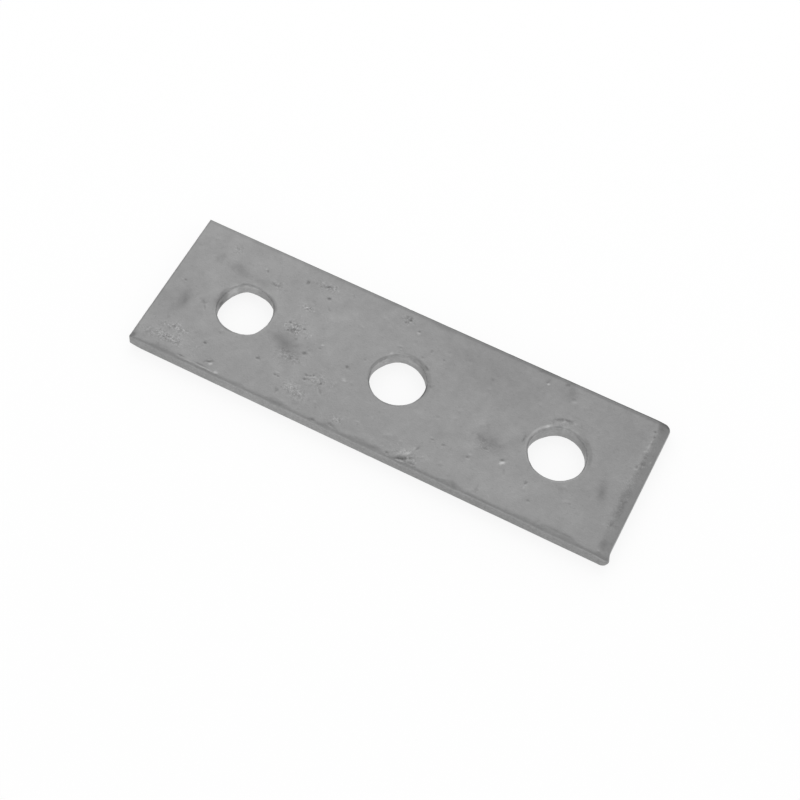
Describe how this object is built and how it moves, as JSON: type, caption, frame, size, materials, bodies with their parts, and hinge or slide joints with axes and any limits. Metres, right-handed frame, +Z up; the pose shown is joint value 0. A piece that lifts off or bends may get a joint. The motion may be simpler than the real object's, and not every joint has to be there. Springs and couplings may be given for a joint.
{
  "type": "flat mounting plate",
  "caption": "Rectangular galvanised flat-bar plate with punched round holes in a row, used to join or pack out steel framing with bolts.",
  "frame": {"origin": "centre of the bottom face, on the middle hole's axis", "axes": "+X along the plate's length towards the end whose top edge is drawn down by the shear, +Y across its width, +Z up out of the face that the holes were punched from"},
  "size_m": [0.16, 0.05, 0.005],
  "materials": {
    "galvanised_steel": "dull hot-dip galvanised, mid grey, with small pimples, pits and darker marks"
  },
  "bodies": {
    "root": {"plate": "galvanised_steel"}
  },
  "joints": []
}
